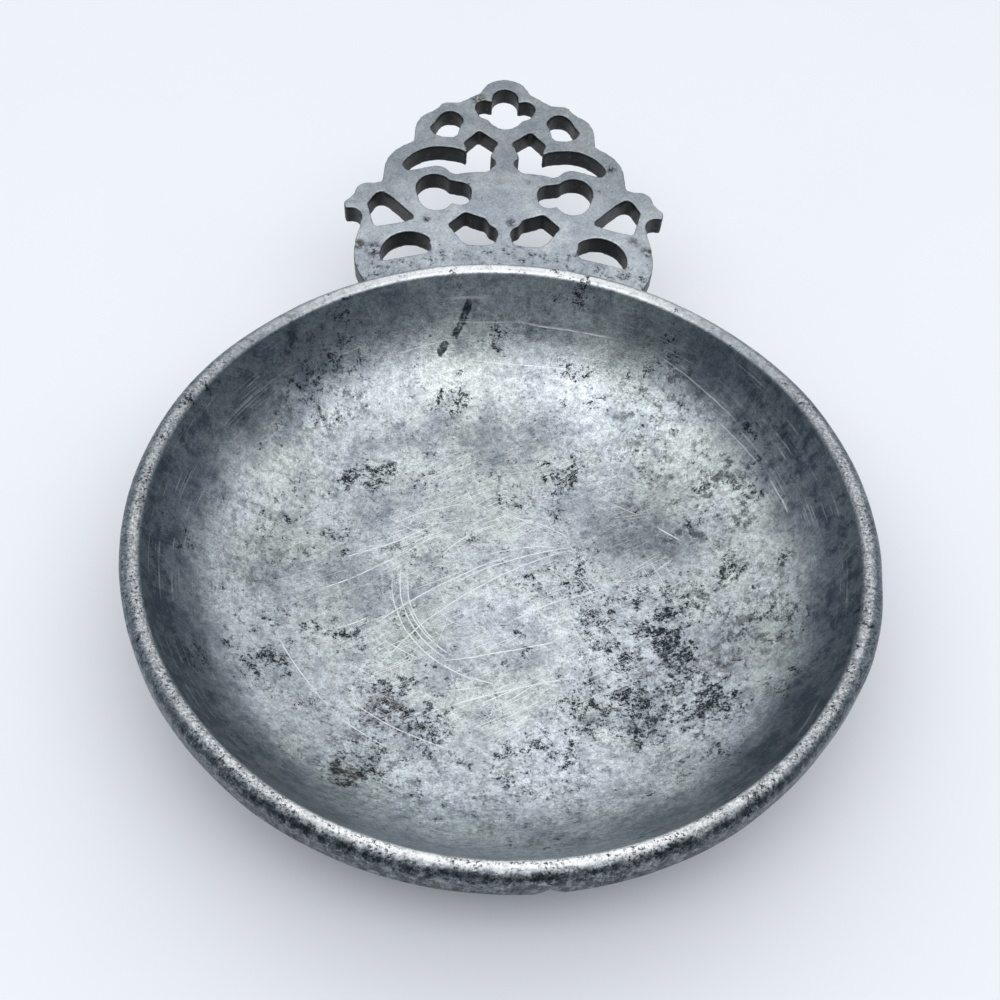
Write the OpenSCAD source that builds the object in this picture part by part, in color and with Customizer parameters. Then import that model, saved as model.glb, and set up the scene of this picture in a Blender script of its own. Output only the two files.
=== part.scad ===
/* [Bowl] */
// Diameter over the lip
bowl_d = 127; // [110:1:150]
// Height from the table to the top of the lip
bowl_h = 24; // [20:0.5:32]
// Diameter of the flat floor, where the side starts to curve up
floor_d = 54; // [40:1:66]
// Thickness of the floor and the side
wall_t = 2; // [1.6:0.1:3]

/* [Lip] */
// Width of the lip across its top
lip_w = 3.5; // [3.4:0.1:4.4]
// Height of the lip's outer face with both its corners
lip_h = 5.8; // [4.5:0.1:7]
// How far the inner corner of the lip rounds down
lip_inner_drop = 0.9; // [0.5:0.05:1]
// Radius of the lip's outer top corner
lip_top_r = 1.9; // [1:0.1:1.9]
// Radius of the lip's outer lower corner
lip_low_r = 1; // [0.6:0.1:1.5]

/* [Handle] */
// Width of the handle over its ears
handle_w = 64.4; // [54:0.2:74]
// Length of the handle's top face from the lip to the tip
handle_l = 49.6; // [42:0.2:58]
// Thickness of the handle where it leaves the bowl
handle_root_t = 4.8; // [4:0.1:6]
// Thickness of the handle at its tip
handle_tip_t = 4.2; // [3:0.1:5]
// Angle at which the handle rises away from the bowl, in degrees
handle_rise = 8.7; // [0:0.1:15]
// How far the handle's top face starts below the top of the lip
handle_drop = 1.5; // [0.5:0.1:2.5]
// Radius that the mould leaves on the corners of the outline and the piercings
mould_r = 0.3; // [0.1:0.05:0.4]

/* [Piercings] */
// Radius of the side leaves of the hole at the tip
leaf_r = 2.05; // [1.8:0.05:2.3]
// Radius of the round top of the small buds
bud_r = 2.5; // [2.2:0.1:2.8]
// Radius of the outer curve of the long crescents
crescent_r = 8.3; // [7.8:0.1:8.7]
// Radius of the large round of the keyholes
keyhole_r = 3.7; // [3.3:0.1:4]

/* [Bracket] */
// Width of the bracket where it meets the bowl
bracket_w = 26; // [18:1:27]
// Width of the bracket at its outer edge
bracket_edge_w = 15; // [10:1:18]
// How far the bracket reaches out from the lip, under the handle
bracket_out = 3.6; // [2:0.1:4]
// Thickness of the bracket's outer edge, below the handle
bracket_edge_t = 1.2; // [0.8:0.1:2]
// How far the bracket reaches down the bowl from the handle's top face
bracket_down = 13; // [9:0.5:15]

/* [Hidden] */
$fa = 4;
$fs = 0.7;

pewter = [0.62, 0.64, 0.66];
round_steps = 144;
side_steps = 24;
corner_steps = 6;
// How far a cutting shape runs past what it cuts
past = 1;

bowl_r = bowl_d / 2;
floor_r = floor_d / 2;
mouth_r = bowl_r - lip_w;

// The side is one arc that leaves the floor level and ends at the edge of the mouth
side_run = mouth_r - floor_r;
side_rise = bowl_h - lip_inner_drop - wall_t;
side_r = (side_run * side_run + side_rise * side_rise) / (2 * side_rise);
side_centre = [floor_r, wall_t + side_r];
side_angle = asin(side_run / side_r);
back_r = side_r + wall_t;

// The lip's inner corner runs on smoothly from the side
lip_inner_r = lip_inner_drop / (1 - cos(side_angle));
lip_low_z = bowl_h - lip_h;

// Points on an arc about a centre, after its first point, from one angle to another
function arc(centre, r, from, to, steps) =
    [for (i = [1:steps]) let (a = from + (to - from) * i / steps)
        centre + r * [cos(a), sin(a)]];

// Radius of the bowl's back at a height between the table and the lip
function back_at(z) = floor_r + sqrt(pow(back_r, 2) - pow(side_centre[1] - z, 2));
function back_angle(z) = asin((z - side_centre[1]) / back_r);

// Outside of the bowl, from the middle of the base up to the top of the lip
function outside() = concat(
    [[0, 0], [floor_r, 0]],
    arc(side_centre, back_r, -90, back_angle(lip_low_z), side_steps),
    [[bowl_r - lip_low_r, lip_low_z]],
    arc([bowl_r - lip_low_r, lip_low_z + lip_low_r], lip_low_r, -90, 0, corner_steps),
    [[bowl_r, bowl_h - lip_top_r]],
    arc([bowl_r - lip_top_r, bowl_h - lip_top_r], lip_top_r, 0, 90, corner_steps));

// Inside of the bowl, from the top of the lip down to the middle of the floor
function inside() = concat(
    [[mouth_r + lip_inner_r * sin(side_angle), bowl_h]],
    arc([mouth_r + lip_inner_r * sin(side_angle), bowl_h - lip_inner_r],
        lip_inner_r, 90, 90 + side_angle, corner_steps),
    arc(side_centre, side_r, side_angle - 90, -90, side_steps),
    [[0, wall_t]]);

// Basin cast and turned in one piece, with a thick rounded lip outside its mouth
module bowl() {
    color(pewter)
        rotate_extrude($fn = round_steps)
            polygon(concat(outside(), inside()));
}

// The whole space inside the bowl's outer face, which the handle is cast against
module bowl_back() {
    rotate_extrude($fn = round_steps)
        polygon(concat(outside(), [[0, bowl_h]]));
}

module both_sides() {
    children();
    mirror([1, 0]) children();
}

module disc(centre, r) {
    translate(centre) circle(r);
}

// The handle's plan is drawn for this width and length, then stretched to the real ones:
// x across, y out from the lip. Its root runs in under the lip, where the bowl cuts it off.
drawn_size = [64.4, 49.6];
root_in = 12;
stretch = [handle_w / drawn_size[0], handle_l / drawn_size[1]];

// A real radius as it is drawn before the stretch
function drawn(r) = 2 * r / (stretch[0] + stretch[1]);

// Crown outline of scalloped lobes that step out to hooked ears and a broad root
module crown() {
    disc([0, 44.3], 5.3);
    both_sides() difference() {
        union() {
            polygon([[0, 45.6], [5.2, 45.6], [7, 44.3], [9.7, 42.5], [12.6, 42.3], [13.5, 41.8],
                [14.2, 40.7], [15, 39.9], [18.7, 34], [18.8, 31.4], [20.4, 30.2], [24.6, 23], [24.8, 20.1],
                [26, 19.8], [30.2, 16.6], [31.5, 15.1], [32, 13], [28.5, 9], [28.9, 7.3],
                [29.4, 5], [29.2, -1], [24.3, -8], [24, -root_in], [0, -root_in]]);
            disc([12.9, 34.5], 5.8);
            disc([16.6, 23.2], 8);
            disc([27.4, 16.9], 2.8);
            disc([31, 14], 1.2);
            disc([16.9, 2.2], 12.6);
        }
        disc([30.6, 10.6], 2.2);
    }
}

// Trefoil through the tip, which the porringer hangs by
module hanging_hole() {
    disc([0, 43.9], 2.7);
    disc([0, 39.1], 3.6);
    both_sides() {
        polygon([[0, 43.9], [2.7, 43.9], [2.7, 39], [0, 39]]);
        disc([4.25, 41.2], drawn(leaf_r));
        polygon([[3, 41], [6, 40.2], [5.1, 38.5], [3, 37.6]]);
    }
}

// Small bud with a round top and a cusp at each side
module bud() {
    disc([11.4, 37.3], drawn(bud_r));
    polygon([[8.6, 38], [9.4, 36], [9.8, 33.6], [10.6, 32.75], [12.9, 32.7], [14.6, 33.5],
        [15.7, 34.9], [14.5, 36.7], [13.7, 38.4]]);
}

// Arrow head on a short neck that opens into a long crescent and a small barb
module arrow() {
    polygon([[5.4, 34.8], [8.5, 31.2], [7.8, 29.4], [7.8, 28.6], [8, 23.3], [3.6, 23.7],
        [2.9, 28.2], [2.2, 30], [1.4, 31.5]]);
    disc([3.2, 26.1], 1.3);
    polygon([[2, 25.7], [3.2, 24], [4, 23.7], [4, 26]]);
    polygon([[8.1, 28.8], [9.2, 29.35], [11.5, 29.8], [11.5, 26], [8.1, 26]]);
    difference() {
        disc([13.2, 21.6], drawn(crescent_r));
        polygon([[0, 24], [8, 23.2], [9.8, 22.7], [11, 23], [15.5, 24.4], [19.8, 23.2],
            [20.9, 24.6], [22, 26], [22, 10], [0, 10]]);
        polygon([[0, 20], [7.6, 20], [7.6, 28], [8, 29.2], [8, 32], [0, 32]]);
        disc([13.9, 21.45], 3.3);
    }
}

// Keyhole with a large outer round and a smaller inner one
module keyhole() {
    disc([14.2, 18.7], drawn(keyhole_r));
    disc([13.8, 16.55], 3.5);
    polygon([[9, 20.5], [13, 21.3], [17.8, 18], [17.3, 16], [13, 15], [9, 15]]);
    disc([9, 18.2], 2.3);
    disc([9, 16.8], 2.2);
}

// Leaning triangle in the ear
module ear_hole() {
    polygon([[25.1, 17.3], [25.9, 16.8], [27.4, 14.1], [26.6, 11], [25.8, 8.4], [24, 8.7],
        [20.8, 9.6], [18, 10.6], [18.2, 11.4], [22.2, 15.5], [24, 17]]);
}

// Arched opening beside the middle of the root
module root_arch() {
    polygon([[2, 4.9], [1.2, 7.4], [1.7, 8.9], [3, 9.6], [3.8, 11.3], [5, 11.6], [7.9, 12.8],
        [11.2, 9.4], [9.6, 7.2], [8.6, 5.6], [7.2, 4.5], [5, 4.4]]);
}

// Crescent at the outer end of the root
module root_crescent() {
    intersection() {
        disc([18.6, 1.55], 5.67);
        polygon([[14.3, 3.1], [15.2, 2.1], [23.4, -0.1], [26, -0.1], [26, 9], [14.7, 9],
            [14.75, 4.4]]);
    }
}

module piercings() {
    hanging_hole();
    both_sides() {
        bud();
        arrow();
        keyhole();
        ear_hole();
        root_arch();
        root_crescent();
    }
}

// The pierced plan at its real size, every corner rounded as the mould leaves it
module handle_plan() {
    offset(r = mould_r) offset(r = -2 * mould_r) offset(r = mould_r)
        scale(stretch)
            difference() {
                crown();
                piercings();
            }
}

// Thickness of the plate at a distance out from the lip
function plate_t(out) = handle_root_t + (handle_tip_t - handle_root_t) * out / handle_l;

plate_in = -handle_l / 2;
plate_out = handle_l + past;

// Flat plate, thinner towards its tip, with its top face at zero height
module plate() {
    intersection() {
        translate([0, 0, -plate_t(plate_in)])
            linear_extrude(plate_t(plate_in)) handle_plan();
        rotate([90, 0, 90])
            linear_extrude(handle_w + 2 * past, center = true)
                polygon([[plate_in, 0], [plate_out, 0], [plate_out, -plate_t(plate_out)],
                    [plate_in, -plate_t(plate_in)]]);
    }
}

handle_top_z = bowl_h - handle_drop;
bracket_low_z = handle_top_z - bracket_down;
bracket_top_z = handle_top_z - handle_root_t / 2;
bracket_edge_z = handle_top_z - handle_root_t - bracket_edge_t;
bracket_y = bowl_r + bracket_out;

// Wedge under the root, wide at the bowl, that runs out to nothing down the bowl's side
module bracket() {
    intersection() {
        rotate([90, 0, 90])
            linear_extrude(bracket_w, center = true)
                polygon([[floor_r, bracket_top_z], [bracket_y, bracket_top_z],
                    [bracket_y, bracket_edge_z], [back_at(bracket_low_z), bracket_low_z],
                    [floor_r, bracket_low_z]]);
        linear_extrude(bowl_h)
            polygon([[-bracket_w / 2, floor_r], [bracket_w / 2, floor_r],
                [bracket_w / 2, back_at(lip_low_z)], [bracket_edge_w / 2, bracket_y],
                [-bracket_edge_w / 2, bracket_y], [-bracket_w / 2, back_at(lip_low_z)]]);
    }
}

// Pierced crown and its bracket, cast in one against the bowl's lip and side
module handle() {
    color(pewter) difference() {
        union() {
            translate([0, bowl_r, handle_top_z])
                rotate([handle_rise, 0, 0]) plate();
            bracket();
        }
        bowl_back();
    }
}

bowl();
handle();
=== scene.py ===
from math import asin, atan2, cos, degrees, hypot, pi, radians, sin

import bpy
from mathutils import Matrix, Vector


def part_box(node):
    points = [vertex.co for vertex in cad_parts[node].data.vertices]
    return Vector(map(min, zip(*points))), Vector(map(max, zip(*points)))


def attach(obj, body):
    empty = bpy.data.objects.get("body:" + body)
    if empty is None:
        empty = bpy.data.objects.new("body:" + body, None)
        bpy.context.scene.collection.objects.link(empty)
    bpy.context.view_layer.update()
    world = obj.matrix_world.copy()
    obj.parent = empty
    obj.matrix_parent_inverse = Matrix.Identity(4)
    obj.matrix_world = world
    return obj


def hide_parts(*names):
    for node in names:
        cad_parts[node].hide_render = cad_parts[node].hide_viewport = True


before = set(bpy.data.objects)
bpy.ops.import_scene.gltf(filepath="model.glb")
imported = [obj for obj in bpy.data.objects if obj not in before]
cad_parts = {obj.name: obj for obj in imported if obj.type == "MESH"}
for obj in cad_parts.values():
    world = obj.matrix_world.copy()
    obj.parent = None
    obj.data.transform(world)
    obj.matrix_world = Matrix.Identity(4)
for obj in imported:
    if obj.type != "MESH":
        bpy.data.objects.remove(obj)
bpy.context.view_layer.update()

scene = bpy.context.scene
mm = 0.001

# Camera
# A short telephoto looks down over the near rim, a little from the left of the bowl's middle,
# and leans a few degrees, so the handle stands upright behind the bowl.
camera_azimuth = radians(-3.53)
camera_elevation = radians(52.24)
camera_roll = radians(4.51)
camera_at = Vector((-9.74, -140.86, 211.06)) * mm
camera_lens = 50.4
camera_sensor = 36
camera_near = 10 * mm

side = Vector((cos(camera_azimuth), sin(camera_azimuth), 0))
back = Vector((sin(camera_azimuth) * cos(camera_elevation),
               -cos(camera_azimuth) * cos(camera_elevation), sin(camera_elevation)))
up = back.cross(side)
rolled_side = side * cos(camera_roll) + up * sin(camera_roll)
rolled_up = up * cos(camera_roll) - side * sin(camera_roll)
bpy.ops.object.camera_add(location=camera_at)
camera = bpy.context.object
camera.rotation_euler = Matrix((rolled_side, rolled_up, back)).transposed().to_euler()
camera.data.lens = camera_lens
camera.data.sensor_width = camera_sensor
camera.data.clip_start = camera_near
scene.camera = camera


# Table
# A smooth white tabletop, painted and faintly cool, that carries the bowl's soft shadow.
# It runs far out on every side, so the pewter reflects it down to the horizon.
table_size = 6.0
table_white = "#eef1f5"
table_pale = "#f1f3f7"
table_rough = 0.6
paint_cloud_size = 100 / 3 * mm


def linear(hex_colour):
    """An sRGB hex colour as linear red, green, blue and alpha."""
    parts = [int(hex_colour[i:i + 2], 16) / 255 for i in (1, 3, 5)]
    return [c / 12.92 if c <= 0.04045 else ((c + 0.055) / 1.055) ** 2.4 for c in parts] + [1]


def add(tree, kind, settings=None, inputs=None):
    """Adds a node, sets its properties, and sets or links its inputs."""
    made = tree.nodes.new(kind)
    for name, value in (settings or {}).items():
        setattr(made, name, value)
    for name, value in (inputs or {}).items():
        if isinstance(value, bpy.types.NodeSocket):
            tree.links.new(value, made.inputs[name])
        else:
            made.inputs[name].default_value = value
    return made


def noise_at(where, size, detail=3.0, rough=0.5):
    """Noise whose blots are about the given size, from 0 to 1 about a middle of a half."""
    return add(tree, "ShaderNodeTexNoise", inputs={
        "Vector": where, "Scale": 1 / size, "Detail": detail, "Roughness": rough}).outputs["Fac"]


def blend(share, first, second):
    """A mix of two colours, each a hex text or a socket."""
    ends = [linear(end) if isinstance(end, str) else end for end in (first, second)]
    return add(tree, "ShaderNodeMix", {"data_type": "RGBA"},
               {"Factor": share, "A": ends[0], "B": ends[1]}).outputs["Result"]


def new_material(name):
    """A material whose tree holds an output alone, and that output."""
    material = bpy.data.materials.new(name)
    material.use_nodes = True
    material.node_tree.nodes.clear()
    return material, material.node_tree, add(material.node_tree, "ShaderNodeOutputMaterial")


# A matt white that is broken up by wide clouds, too faint to see one by one.
painted_board, tree, output = new_material("painted_board")
place = add(tree, "ShaderNodeTexCoord").outputs["Object"]
tint = blend(noise_at(place, paint_cloud_size), table_white, table_pale)
paint = add(tree, "ShaderNodeBsdfPrincipled", inputs={"Base Color": tint, "Roughness": table_rough})
tree.links.new(paint.outputs["BSDF"], output.inputs["Surface"])

bpy.ops.object.select_all(action="DESELECT")
bpy.ops.mesh.primitive_plane_add(size=table_size)
table = bpy.context.object
table.name = "table"
table.data.materials.append(painted_board)

# Light
# The bowl stands in a white cloth tent that is open in front, where the camera looks in. Its
# back is brightest, and a long soft lamp hangs overhead and lights most of the table.
tent_white = "#f7f9fc"
tent_dark = "#7c848c"
tent_strength = 0.9
back_strength = 1.16
back_towards = Vector((0, cos(radians(36)), sin(radians(36))))
back_edge = cos(radians(50))
back_middle = cos(radians(15))
cloth_towards = Vector((0, 0.75, 0.66))
cloth_edge = -0.25
cloth_full = 0.6
lamp_width = 2.3
lamp_depth = 0.54
lamp_distance = 1.1
lamp_tilt = radians(18)
lamp_power = 6.5


def vectors(operation, first, second=(0, 0, 0), gives="Vector"):
    """One sum of two vectors, which gives a vector or a plain value."""
    return add(tree, "ShaderNodeVectorMath", {"operation": operation},
               {0: first, 1: second}).outputs[gives]


def between(value, low, high, least=0.0, most=1.0):
    """A smooth step of a value from one end of a range to the other."""
    return add(tree, "ShaderNodeMapRange", {"interpolation_type": "SMOOTHSTEP"},
               {"Value": value, "From Min": low, "From Max": high,
                "To Min": least, "To Max": most}).outputs["Result"]


tent = bpy.data.worlds.new("tent")
tent.use_nodes = True
tree = tent.node_tree
tree.nodes.clear()
direction = add(tree, "ShaderNodeTexCoord").outputs["Generated"]
to_cloth = vectors("DOT_PRODUCT", direction, cloth_towards, "Value")
to_back = vectors("DOT_PRODUCT", direction, back_towards, "Value")
glow = add(tree, "ShaderNodeBackground", inputs={
    "Color": blend(between(to_cloth, cloth_edge, cloth_full), tent_dark, tent_white),
    "Strength": between(to_back, back_edge, back_middle, tent_strength, back_strength)})
add(tree, "ShaderNodeOutputWorld", inputs={"Surface": glow.outputs["Background"]})
scene.world = tent

lamp_at = Vector((0, -sin(lamp_tilt), cos(lamp_tilt))) * lamp_distance
bpy.ops.object.light_add(type="AREA", location=lamp_at)
lamp = bpy.context.object
lamp.name = "tent_lamp"
lamp.rotation_euler = lamp_at.to_track_quat("Z", "Y").to_euler()
lamp.data.shape = "RECTANGLE"
lamp.data.size = lamp_width
lamp.data.size_y = lamp_depth
lamp.data.energy = lamp_power

# Basin
# The bowl and its thick lip are one casting of old pewter, poured in a bronze mould and then
# skimmed on a lathe inside and out. Use has scratched its floor, and damp has spotted it.
basin_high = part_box("bowl")[1]
lip_r = basin_high.x
lip_top = basin_high.z
lip_width = 3.5 * mm
lip_height = 5.8 * mm
lip_inner_drop = 0.9 * mm
lip_top_round = 1.9 * mm
lip_low_round = 1 * mm
floor_r = 27 * mm
wall = 2 * mm
turns = 360
side_steps = 48
corner_steps = 10
base_rings = (8 * mm, 16 * mm, 22 * mm, floor_r)
ring_step = 2.25 * mm
weld = 0.01 * mm

mouth_r = lip_r - lip_width
side_run = mouth_r - floor_r
side_rise = lip_top - lip_inner_drop - wall
side_r = (side_run ** 2 + side_rise ** 2) / (2 * side_rise)
side_angle = asin(side_run / side_r)
side_middle = (floor_r, wall + side_r)
lip_inner_round = lip_inner_drop / (1 - cos(side_angle))
lip_low = lip_top - lip_height
back_angle = asin((lip_low - side_middle[1]) / (side_r + wall))


def extrude_to(at, end):
    """Draws a straight stretch of the profile from one point to the next."""
    bpy.ops.mesh.extrude_region_move(TRANSFORM_OT_translate={
        "value": (end[0] - at[0], 0, end[1] - at[1])})
    return end


def arc_to(at, middle, angle, steps):
    """Draws an arc of the profile about a middle, anticlockwise seen from the front."""
    bpy.ops.mesh.spin(steps=steps, angle=angle, center=(middle[0], 0, middle[1]), axis=(0, 1, 0))
    x, z = at[0] - middle[0], at[1] - middle[1]
    return (middle[0] + x * cos(angle) - z * sin(angle), middle[1] + x * sin(angle) + z * cos(angle))


bpy.ops.object.select_all(action="DESELECT")
bpy.ops.mesh.primitive_plane_add(size=1 * mm, location=(0, 0, 0))
basin = bpy.context.object
basin.name = "basin"
bpy.ops.object.mode_set(mode="EDIT")
bpy.ops.mesh.merge(type="CENTER")
pen = (0, 0)
for ring_r in base_rings:
    pen = extrude_to(pen, (ring_r, 0))
pen = arc_to(pen, side_middle, pi / 2 + back_angle, side_steps)
pen = extrude_to(pen, (lip_r - lip_low_round, lip_low))
pen = arc_to(pen, (lip_r - lip_low_round, lip_low + lip_low_round), pi / 2, corner_steps)
for share in (0.5, 1):
    pen = extrude_to(pen, (lip_r, lip_low + lip_low_round
                           + share * (lip_height - lip_low_round - lip_top_round)))
pen = arc_to(pen, (lip_r - lip_top_round, lip_top - lip_top_round), pi / 2, corner_steps)
lip_inner_x = mouth_r + lip_inner_round * sin(side_angle)
pen = extrude_to(pen, (lip_inner_x, lip_top))
pen = arc_to(pen, (lip_inner_x, lip_top - lip_inner_round), side_angle, corner_steps)
pen = arc_to(pen, side_middle, -side_angle, side_steps)
for ring in range(round(floor_r / ring_step) - 1, -1, -1):
    pen = extrude_to(pen, (ring * ring_step, wall))
bpy.ops.mesh.select_all(action="SELECT")
bpy.ops.mesh.spin(steps=turns, angle=2 * pi, center=(0, 0, 0), axis=(0, 0, 1))
bpy.ops.mesh.select_all(action="SELECT")
bpy.ops.mesh.remove_doubles(threshold=weld)
bpy.ops.mesh.normals_make_consistent(inside=False)
bpy.ops.mesh.select_all(action="DESELECT")
bpy.ops.object.mode_set(mode="OBJECT")


def push(moved, spread):
    """Moves the chosen vertices, and those within a distance of them less and less."""
    bpy.ops.object.mode_set(mode="EDIT")
    bpy.ops.transform.translate(value=moved, use_proportional_edit=True,
                                proportional_edit_falloff="SMOOTH", proportional_size=spread)
    bpy.ops.mesh.select_all(action="DESELECT")
    bpy.ops.object.mode_set(mode="OBJECT")


# The rim has sagged where the handle pulls on it, and knocks have bent it beside the front.
# Each knock: from and to which angle about the bowl, how far it moved, and how far that spreads.
knocks = ((50, 130, (0, -0.25, -0.4), 26),
          (-50, -40, (-0.22, 0.22, -0.3), 12),
          (-24, -16, (0.25, -0.1, 0.1), 9),
          (-141, -135, (0.1, 0.12, -0.15), 9))
for angle_from, angle_to, moved, spread in knocks:
    for vertex in basin.data.vertices:
        at = vertex.co
        vertex.select = (hypot(at.x, at.y) > mouth_r and at.z > lip_low
                         and angle_from <= degrees(atan2(at.y, at.x)) <= angle_to)
    push(Vector(moved) * mm, spread * mm)

# A nick in the lower edge of the lip, in front.
nick_angle = -84
nick_half_angle = 0.8
nick_depth = 1.6 * mm
nick_height = 0.6 * mm
nick_moved = Vector((0, 0.35, 0.75)) * mm
nick_spread = 2 * mm
for vertex in basin.data.vertices:
    at = vertex.co
    vertex.select = (abs(degrees(atan2(at.y, at.x)) - nick_angle) < nick_half_angle
                     and hypot(at.x, at.y) > lip_r - nick_depth and at.z < lip_low + nick_height)
push(nick_moved, nick_spread)

# Faint waves that skimming and long use leave in a soft metal, over all but the base.
wave_size = 11 * mm
wave_height = 0.16 * mm
waves = bpy.data.textures.new("waves", "CLOUDS")
waves.noise_scale = wave_size
free = basin.vertex_groups.new(name="free")
free.add([v.index for v in basin.data.vertices if v.co.z > wall / 2], 1, "REPLACE")
rippled = basin.modifiers.new("rippled", "DISPLACE")
rippled.texture = waves
rippled.strength = wave_height
rippled.vertex_group = "free"
bpy.ops.object.modifier_apply(modifier="rippled")
basin.vertex_groups.clear()
bpy.ops.object.shade_smooth()

# Old pewter, turned: mottled grey with clouds of cool white, green and plum, a fine grain that
# breaks up every reflection, black oxide spots, a slate ring up the side that is partly painted
# shade, painted light on the lip, and bright scratches.
bare_blue = "#c2c8ce"
bare_green = "#c4ccca"
cloud_plum = "#8f96a0"
patch_grey = "#747d88"
pepper_grey = "#4d5760"
slate = "#434f5b"
lip_side_shade_grey = "#69737c"
worn_and_highlight_white = "#ffffff"
front_shade_black = "#2b3238"
outside_grey = "#555d64"
halo_grey = "#66707a"
oxide_black = "#20272d"
stain_brown = "#38302d"
streak_black = "#222e34"
scratch_white = "#f6f9fa"
tint_size = 19 * mm
tarnish_size = 12 * mm
cluster_size = 11 * mm
drift_size = 7 * mm
shake_size = 6 * mm
pit_patch_size = 5 * mm
tool_mark_size = 5 * mm
patch_size = 4 * mm
smudge_size = 3.4 * mm
fleck_size = 1.9 * mm
dirt_size = 1.5 * mm
curd_size = 1.3 * mm
pepper_size = 0.6 * mm
speck_size = 0.5 * mm
pit_size = 0.5 * mm
lip_grain_size = 0.42 * mm
grain_size = 0.34 * mm
fine_mark_size = 0.22 * mm

# Noise is looked up far from its own middle, where all its sizes line up and show straight edges.
noise_shift = (137 * mm, 91 * mm, 43 * mm)


def maths(operation, first, second=0.0, third=0.0):
    """One sum of two or three values or sockets."""
    return add(tree, "ShaderNodeMath", {"operation": operation},
               {0: first, 1: second, 2: third}).outputs["Value"]


def times(first, *others):
    """The product of several values or sockets."""
    for other in others:
        first = maths("MULTIPLY", first, other)
    return first


def sloped(value, slope, start):
    """A value times a slope, added to a start."""
    return maths("MULTIPLY_ADD", value, slope, start)


def shade(colour, factor):
    """A colour made darker or lighter by a factor."""
    grey = add(tree, "ShaderNodeCombineXYZ", inputs={"X": factor, "Y": factor, "Z": factor})
    return vectors("MULTIPLY", colour, grey.outputs["Vector"])


def split(vector):
    """The three parts of a vector."""
    return add(tree, "ShaderNodeSeparateXYZ", inputs={"Vector": vector}).outputs


def surface_places():
    """A point's place, its normal, its plan, how far out that lies, and its place for noise."""
    here = add(tree, "ShaderNodeTexCoord").outputs
    plan = vectors("MULTIPLY", here["Object"], (1, 1, 0))
    return (here["Object"], here["Normal"], plan, vectors("LENGTH", plan, gives="Value"),
            vectors("ADD", here["Object"], noise_shift))


def blots(spots):
    """Soft round patches on the plan: across, along, reach in mm and how strong."""
    total = 0.0
    for x, y, reach, amount in spots:
        gap = vectors("DISTANCE", plan, (x * mm, y * mm, 0), "Value")
        total = maths("MAXIMUM", total, between(gap, reach * mm, 0.25 * reach * mm, 0, amount))
    return total


def scratches(marks, width):
    """Thin arcs on the plan: middle x, y, heading in degrees, length and bend radius in mm."""
    total = 0.0
    for x, y, heading, length, bend in marks:
        across = Vector((-sin(radians(heading)), cos(radians(heading)), 0))
        centre = (Vector((x, y, 0)) + across * bend) * mm
        from_centre = vectors("DISTANCE", shaken, centre, "Value")
        gap = maths("ABSOLUTE", maths("SUBTRACT", from_centre, abs(bend) * mm))
        from_middle = vectors("DISTANCE", plan, (x * mm, y * mm, 0), "Value")
        line = times(between(gap, width, 0.3 * width),
                     between(from_middle, 0.5 * length * mm, 0.3 * length * mm))
        total = maths("MAXIMUM", total, line)
    return total


def finish_metal(metallic):
    """Joins the colour, roughness and relief of a metal to its material's output."""
    bump = add(tree, "ShaderNodeBump", inputs={"Strength": 1.0, "Distance": mm, "Height": relief})
    metal = add(tree, "ShaderNodeBsdfPrincipled", inputs={
        "Base Color": metal_colour, "Metallic": metallic, "Roughness": dull,
        "Normal": bump.outputs["Normal"]})
    tree.links.new(metal.outputs["BSDF"], output.inputs["Surface"])


turned_pewter, tree, output = new_material("turned_pewter")
true_place, normal, plan, out_r, place = surface_places()
height = split(true_place)["Z"]
facing_up = split(normal)["Z"]
top_side = between(facing_up, -0.1, 0.1)
clouds = noise_at(place, tarnish_size, 8.0, 0.68)
mottle = noise_at(place, patch_size, 6.0, 0.76)
drift = noise_at(place, drift_size, 6.0, 0.8)
curd = noise_at(place, curd_size, 5.0, 0.8)
grain = noise_at(place, grain_size, 2.0, 0.75)
tints = between(noise_at(place, tint_size, 3.0, 0.6), 0.4, 0.6)
metal_colour = blend(tints, bare_blue, bare_green)
metal_colour = blend(between(clouds, 0.46, 0.66, 0, 0.7), metal_colour, cloud_plum)
metal_colour = blend(between(mottle, 0.48, 0.72, 0, 0.7), metal_colour, patch_grey)
metal_colour = shade(metal_colour, between(curd, 0.66, 0.34, 0.72, 1.26))
metal_colour = shade(metal_colour, between(grain, 0.22, 0.78, 0.74, 1.24))
pepper = times(between(noise_at(place, pepper_size, 4.0, 0.8), 0.52, 0.62),
               between(drift, 0.44, 0.58, 0.1, 0.9), between(out_r, 62 * mm, 40 * mm, 0.5, 0.85))
metal_colour = blend(pepper, metal_colour, pepper_grey)

# Worn patches that are brighter than the rest, and dull ones that are darker; those on the far
# slope are painted shade that dims the lamp's highlight there.
polished = blots((
    (4, -2, 13, 0.75), (12, -10, 13, 0.8), (10, -34, 15, 0.8), (-12, -44, 14, 0.55),
    (-20, 8, 8, 0.3), (24, 36, 12, 0.5), (-16, 32, 10, 0.45), (30, -46, 12, 0.5),
    (-46, 16, 12, 0.45), (44, 18, 10, 0.4), (-40, -36, 12, 0.5)))
dulled_and_shaded = blots((
    (27, 14, 15, 1), (-34, 2, 17, 0.6), (-14, -9, 9, 0.45), (42, -12, 12, 0.5),
    (-24, 48, 10, 0.45), (-40, -16, 10, 0.3), (0, 40, 18, 0.45), (-22, 38, 15, 0.4),
    (26, 46, 10, 0.35), (-32, -16, 12, 0.3), (-32, -30, 10, 0.3), (32, -2, 10, 0.3)))
polished = times(polished, between(mottle, 0.6, 0.4, 0.4, 1))
dulled_and_shaded = times(dulled_and_shaded, between(mottle, 0.36, 0.56, 0.45, 1))
metal_colour = shade(metal_colour, sloped(polished, 0.3, 1.0))
metal_colour = shade(metal_colour, sloped(dulled_and_shaded, -0.5, 1.0))
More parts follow.
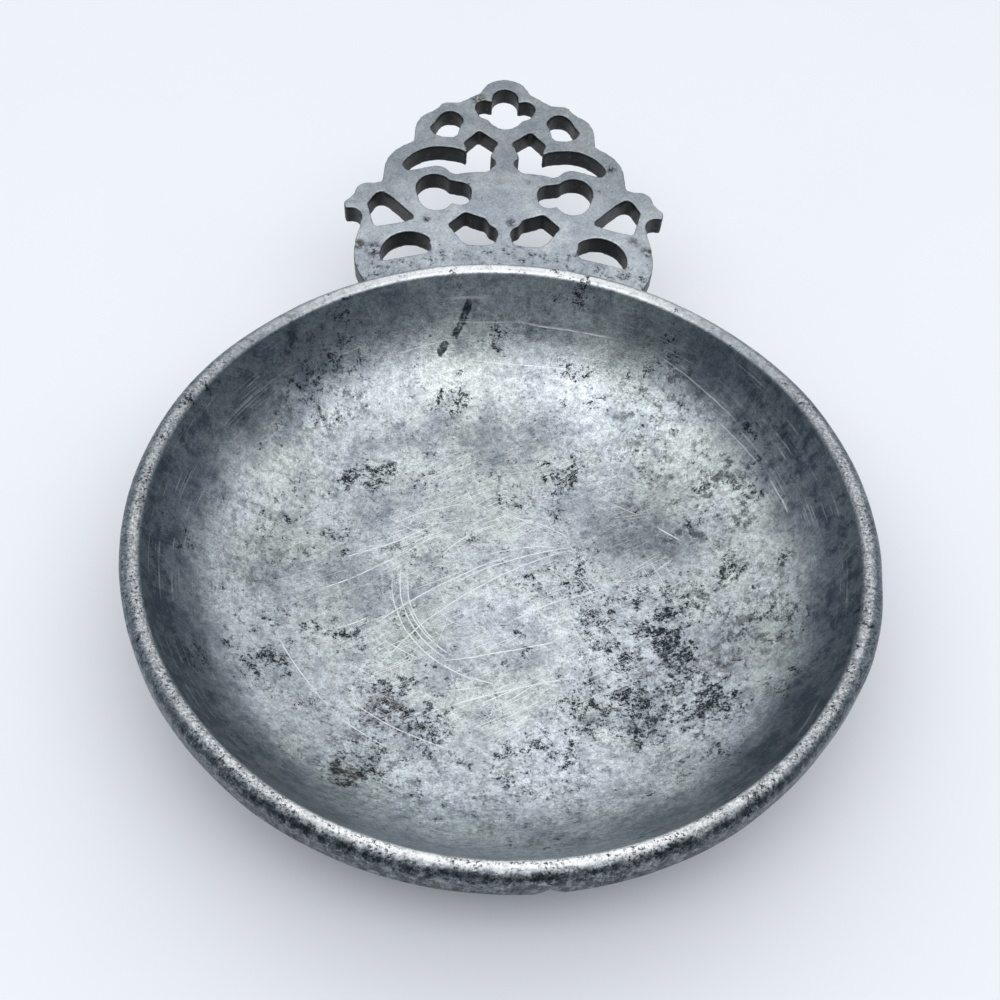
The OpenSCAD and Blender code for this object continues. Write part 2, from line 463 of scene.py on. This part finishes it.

# The slate ring: a patina high up the side, made darker to the left and right and a little in front by
# painted shade.
ring_low = 47 * mm
ring_high = 57 * mm
ring_wander = 9 * mm
sideways = split(vectors("NORMALIZE", plan))
to_side = between(maths("ABSOLUTE", sideways["X"]), 0.15, 0.85)
to_front = between(sideways["Y"], 0.2, -0.7)
to_back = between(sideways["Y"], 0.35, 0.8)
ring_edge = maths("ADD", out_r, times(maths("SUBTRACT", clouds, 0.5), ring_wander))
ring = times(between(mottle, 0.36, 0.6, 1.1, 0.75), between(ring_edge, ring_low, ring_high),
             between(out_r, mouth_r + 0.4 * mm, mouth_r - 0.1 * mm),
             sloped(to_front, 0.2, sloped(to_side, 0.76, 0.15)))
# Painted shade: the slate is laid on more thickly to the left and right and in front.
metal_colour = blend(ring, metal_colour, slate)

# The lip: a worn crest with a painted highlight that makes it brightest in front and behind, a
# dull pitted shoulder outside it, greyed by painted shade to the left and right, and a dark face
# below that is painted shade in front.
dirt = noise_at(place, dirt_size, 6.0, 0.75)
round_place = add(tree, "ShaderNodeCombineXYZ", inputs={
    "X": times(sideways["X"], 14 * mm), "Y": times(sideways["Y"], 14 * mm), "Z": times(out_r, 20.0)})
tool_marks = noise_at(round_place.outputs["Vector"], tool_mark_size, 4.0, 0.6)
on_top = between(height, lip_top - 3 * mm, lip_top - 1.4 * mm)
on_lip = between(out_r, mouth_r - 0.3 * mm, mouth_r + 0.3 * mm)
# Painted highlight: the worn crest is made brighter in front and behind than to the left and right.
worn_crest_and_highlight = times(between(out_r, mouth_r - 0.1 * mm, mouth_r + 0.7 * mm),
              between(out_r, mouth_r + 2.3 * mm, mouth_r + 1.4 * mm), on_top,
              sloped(to_side, -0.62, sloped(to_back, -0.2, 1.0)),
              between(dirt, 0.66, 0.5, 0.5, 1), between(tool_marks, 0.3, 0.55, 0.8, 1),
              sloped(to_front, 0.12, 0.98))
shoulder = times(between(out_r, mouth_r + 1.2 * mm, mouth_r + 2.7 * mm),
                 between(height, lip_low - 0.5 * mm, lip_low))
# Painted shade: the lip is greyed to the left and right, broken up by dirt.
metal_colour = blend(times(on_lip, to_side, between(dirt, 0.3, 0.6, 0.6, 1)), metal_colour, lip_side_shade_grey)
metal_colour = blend(worn_crest_and_highlight, metal_colour, worn_and_highlight_white)
lip_grain = between(noise_at(place, lip_grain_size, 2.0, 0.7), 0.34, 0.62, 0.3, -0.34)
rough_lip = times(on_lip, sloped(to_side, 0.85, 0.15), sloped(to_back, -0.8, 1.0))
metal_colour = shade(metal_colour, sloped(rough_lip, lip_grain, 1.0))
# Painted shade: the outer face of the lip is darkened in front, broken up by dirt.
front_painted_shade = between(sideways["Y"], -0.4, -0.85, 0.12, 1)
metal_colour = blend(times(shoulder, front_painted_shade, between(dirt, 0.36, 0.6, 0.4, 1)),
                     metal_colour, front_shade_black)
pits = times(between(noise_at(place, pit_size, 4.0, 0.8), 0.52, 0.6),
             between(noise_at(place, pit_patch_size, 4.0, 0.7), 0.36, 0.56, 0.15, 1),
             maths("MAXIMUM", shoulder, times(on_top, between(out_r, mouth_r, mouth_r + 0.5 * mm))),
             sloped(to_back, -0.8, 1.0))

# Outside and underneath the metal was never polished again, and stays dark.
metal_colour = blend(times(between(facing_up, 0.1, -0.3), between(dirt, 0.35, 0.65, 0.95, 0.6)),
                     metal_colour, outside_grey)

# Black oxide spots in clusters, each in a grey halo, soft smudges and a few brown stains.
clusters = maths("MAXIMUM", between(noise_at(place, cluster_size, 4.0, 0.65), 0.46, 0.68, 0, 0.11), blots((
    (27, -8, 20, 0.12), (20, -24, 15, 0.12), (33, -22, 15, 0.11), (-16, -28, 14, 0.1),
    (-24, -38, 9, 0.1), (32, 32, 14, 0.05), (41, 16, 13, 0.05), (-41, -16, 14, 0.06),
    (16, 4, 12, 0.09), (48, -10, 12, 0.07), (-40, 14, 12, 0.07),
    (3, -34, 20, 0.07), (-12, 8, 10, 0.05), (-33, 38, 12, 0.07))))
clusters = times(clusters, between(drift, 0.4, 0.6, 0.25, 1.25))
clusters = maths("ADD", clusters, sloped(curd, 0.2, -0.1))
fleck = noise_at(place, fleck_size, 7.0, 0.86)
speck = noise_at(place, speck_size, 3.0, 0.8)
spotted = maths("ADD", sloped(speck, 0.4, times(fleck, 0.6)), clusters)
spots = maths("MAXIMUM", between(spotted, 0.6, 0.645), pits)
smudges = between(sloped(curd, 0.3, noise_at(place, smudge_size, 5.0, 0.7)), 0.675, 0.77)
smudges = times(smudges, blots((
    (40, 20, 22, 0.75), (42, -6, 18, 0.7), (30, 40, 14, 0.7), (-34, 40, 16, 0.7),
    (-44, 6, 14, 0.4), (26, -24, 20, 0.6), (-20, -34, 18, 0.6), (6, -44, 18, 0.5))))
stain = blots(((-19.2, -24.5, 5, 1), (-15, -28, 3.4, 0.8), (-23.9, -39.5, 4, 1),
               (37.3, -15.7, 4.6, 0.9), (41, -14, 3, 0.6), (-6, 56.6, 2, 0.7)))
stain = times(stain, between(fleck, 0.42, 0.56), top_side, 0.85)
metal_colour = shade(metal_colour, sloped(smudges, -0.85, 1.0))
metal_colour = blend(between(maths("ADD", fleck, clusters), 0.56, 0.68, 0, 0.6), metal_colour, halo_grey)
metal_colour = blend(times(spots, 0.95), metal_colour, oxide_black)
metal_colour = blend(stain, metal_colour, stain_brown)

# Scratches: the long and the faint ones listed one by one, and short random ones, straight on the worn
# floor and about the middle on the side. Two dark streaks run down the far side.
scratch_width = 0.16 * mm
faint_width = 0.13 * mm
streak_width = 1.2 * mm
wander = vectors("MULTIPLY", add(tree, "ShaderNodeTexNoise", inputs={
    "Vector": place, "Scale": 1 / shake_size}).outputs["Color"], (0.5 * mm, 0.5 * mm, 0))
shaken = vectors("ADD", wander, plan)
long_marks = scratches((
    (-13.3, -12.1, -47.3, 36, 21.6), (-15.7, -6, -65, 25, 20.2), (-14.9, -4.4, -68, 17, 18.8),
    (-12.8, -9, -52, 15, 19.4), (0.2, -12.6, 13, 24, 300), (-5.5, -0.4, 37, 48, -70),
    (-10, 1.5, 33, 34, -90), (2, 7, 22, 28, -60), (-33.9, -18, -54, 17, 80),
    (-22.2, -29.8, -32, 10, 200), (-16, -28.5, -26, 24, 60), (12.4, 53.8, -12, 23, -90),
    (31.8, 13.7, -40, 6, 60), (50.9, 15.4, -73, 9, -60), (-12.3, 18.2, 20, 14, -30),
    (8, 15.6, -22, 14, -19), (16, 2.1, -56, 6, -30), (-7, 57.6, 6, 9, -80),
    (-20, 10, 26, 22, 60), (-25, 3, 30, 18, 90), (-27, -8, 22, 12, 50), (4, 10, 10, 16, -26),
    (10, -2, 24, 20, -60), (2, -20, 16, 26, -120), (-6, 12, 38, 14, -24)), scratch_width)
long_marks = times(long_marks, between(curd, 0.4, 0.54, 0.35, 1),
                   between(out_r, 34 * mm, 46 * mm, 1, 0.75))
faint_marks = scratches((
    (-4, 55, 3, 22, -110), (-15, 50.5, 20, 12, -60), (6, 49, -5, 30, -150), (38, 40, -47, 24, -55),
    (45, 28, -58, 14, -50)), faint_width)
long_marks = maths("MAXIMUM", long_marks, times(faint_marks, 0.4))
fine_marks = 0.0
for turn, sparse in ((27, 0.585), (36, 0.605), (-29, 0.625), (74, 0.635), (-66, 0.625), (8, 0.615)):
    drawn_out = add(tree, "ShaderNodeMapping", {"vector_type": "TEXTURE"},
                    {"Vector": shaken, "Rotation": (0, 0, radians(turn)), "Scale": (80, 1, 1)})
    line = noise_at(drawn_out.outputs["Vector"], fine_mark_size, 1.0)
    fine_marks = maths("MAXIMUM", fine_marks, between(line, sparse + 0.06, sparse + 0.1))
fine_marks = times(fine_marks, between(out_r, 46 * mm, 18 * mm, 0.1, 1),
                   between(clouds, 0.62, 0.42, 0.25, 0.9))
turned = times(between(tool_marks, 0.57, 0.66), between(out_r, 34 * mm, 52 * mm, 0, 0.28),
               between(drift, 0.44, 0.58), between(out_r, mouth_r, mouth_r - 1 * mm))
marks = maths("MAXIMUM", fine_marks, times(long_marks, 0.9))
marks = times(maths("MAXIMUM", marks, turned), top_side)
streaks = scratches(((-7.8, 54.6, 60, 7.4, 200), (-11.4, 50.4, 52, 4, 200)), streak_width)
streaks = between(sloped(curd, 1.8, streaks), 1.42, 1.9)
metal_colour = blend(times(streaks, 0.92), metal_colour, streak_black)
metal_colour = blend(times(marks, 0.95), metal_colour, scratch_white)

# Spots are dull and sunk a little, scratches are cut in, and the mottle stands up.
dull = maths("ADD", between(mottle, 0.35, 0.65, 0.42, 0.31), times(spots, 0.2))
relief = maths("ADD", times(grain, 0.03), times(mottle, 0.06))
relief = sloped(marks, -0.02, sloped(spots, -0.035, relief))
finish_metal(1.0)
basin.data.materials.append(turned_pewter)
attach(basin, "root")
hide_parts("bowl")

# Handle
# The pierced crown and its bracket are one casting of the same pewter, poured against the
# finished bowl. Handling has worn every edge round, and its face has dulled to a darker grey.
join = 0.005 * mm
voxel = 0.3 * mm
rounding_share = 0.5
rounding_steps = 6
seat_depth = 0.45 * mm
seat_sink = 0.986

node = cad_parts["handle"]
crown = node.copy()
crown.data = node.data.copy()
crown.name = "crown"
scene.collection.objects.link(crown)
crown.parent = None
crown.matrix_world = node.matrix_world
bpy.ops.object.select_all(action="DESELECT")
crown.select_set(True)
bpy.context.view_layer.objects.active = crown
crown.data.materials.clear()
bpy.ops.object.mode_set(mode="EDIT")
bpy.ops.mesh.select_all(action="SELECT")
bpy.ops.mesh.remove_doubles(threshold=join)
bpy.ops.mesh.select_all(action="DESELECT")
bpy.ops.object.mode_set(mode="OBJECT")
remesh = crown.modifiers.new("remesh", "REMESH")
remesh.mode = "VOXEL"
remesh.voxel_size = voxel
bpy.ops.object.modifier_apply(modifier="remesh")
worn = crown.modifiers.new("worn", "SMOOTH")
worn.factor = rounding_share
worn.iterations = rounding_steps
bpy.ops.object.modifier_apply(modifier="worn")

# The seat sinks a little into the bowl, because the two metals have fused there.
for vertex in crown.data.vertices:
    at = vertex.co
    from_axis = hypot(at.x, at.y)
    by_lip = at.z > lip_low - seat_depth and from_axis < lip_r + seat_depth
    by_side = hypot(from_axis - floor_r, at.z - side_middle[1]) < side_r + wall + seat_depth
    vertex.select = by_lip or by_side
bpy.ops.object.mode_set(mode="EDIT")
bpy.ops.transform.resize(value=(seat_sink, seat_sink, 1), center_override=(0, 0, 0))
bpy.ops.mesh.select_all(action="DESELECT")
bpy.ops.object.mode_set(mode="OBJECT")
bpy.ops.object.shade_smooth()

# Old pewter, left as cast: a darker, more even grey than the bowl, near black and brownish on
# the walls of the piercings where no hand polishes it, with pits and stains by the lip.
cast_blue = "#9aa1a8"
cast_pale = "#aeb5b8"
piercing_black = "#171514"
pit_halo = "#626b74"
pit_black = "#23272a"
stain_black = "#2f2320"
crown_cloud_size = 9 * mm
crown_mottle_size = 1.8 * mm
crown_fleck_size = 1.5 * mm
crown_grain_size = 0.45 * mm
crown_rise = radians(8.7)
crown_tip = 94 * mm
crown_root = 70 * mm

cast_pewter, tree, output = new_material("cast_pewter")
true_place, normal, plan, out_r, place = surface_places()
facing = maths("ABSOLUTE", vectors("DOT_PRODUCT", normal, (0, -sin(crown_rise), cos(crown_rise)), "Value"))
clouds = noise_at(place, crown_cloud_size, 4.0, 0.6)
mottle = noise_at(place, crown_mottle_size, 6.0, 0.7)
grain = noise_at(place, crown_grain_size, 3.0, 0.6)
fleck = noise_at(place, crown_fleck_size, 6.0, 0.8)
metal_colour = blend(between(clouds, 0.38, 0.62), cast_blue, cast_pale)
metal_colour = shade(metal_colour, between(mottle, 0.3, 0.7, 0.86, 1.08))
metal_colour = shade(metal_colour, between(grain, 0.25, 0.75, 0.87, 1.12))
metal_colour = shade(metal_colour, between(out_r, crown_tip, crown_root, 0.8, 1.2))
unpolished = between(facing, 0.8, 0.45)
metal_colour = blend(unpolished, metal_colour, piercing_black)
near_lip = between(sloped(maths("SUBTRACT", clouds, 0.5), 8 * mm, out_r), 71 * mm, 66.5 * mm)
spotted = sloped(near_lip, 0.075, fleck)
spots = between(spotted, 0.63, 0.72)
metal_colour = blend(between(spotted, 0.52, 0.68, 0, 0.4), metal_colour, pit_halo)
metal_colour = blend(times(spots, 0.85), metal_colour, pit_black)
stain = blots(((-5.7, 106.5, 2.2, 1), (22, 88.7, 1.6, 1), (1.4, 73.7, 1.6, 0.9),
               (-25.7, 65.8, 2.6, 1), (-28.5, 67, 2, 0.9), (28.5, 67.4, 2, 1),
               (-15.3, 73.8, 1.2, 1), (26, 70, 2, 0.7)))
metal_colour = blend(times(stain, between(fleck, 0.42, 0.54), 0.92), metal_colour, stain_black)
dull = between(mottle, 0.35, 0.65, 0.46, 0.36)
relief = maths("ADD", times(grain, 0.025), times(mottle, 0.07))
relief = sloped(spots, -0.05, relief)
finish_metal(sloped(unpolished, -0.9, 1.0))
crown.data.materials.append(cast_pewter)
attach(crown, "root")
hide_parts("handle")

scene.view_settings.view_transform = "Standard"
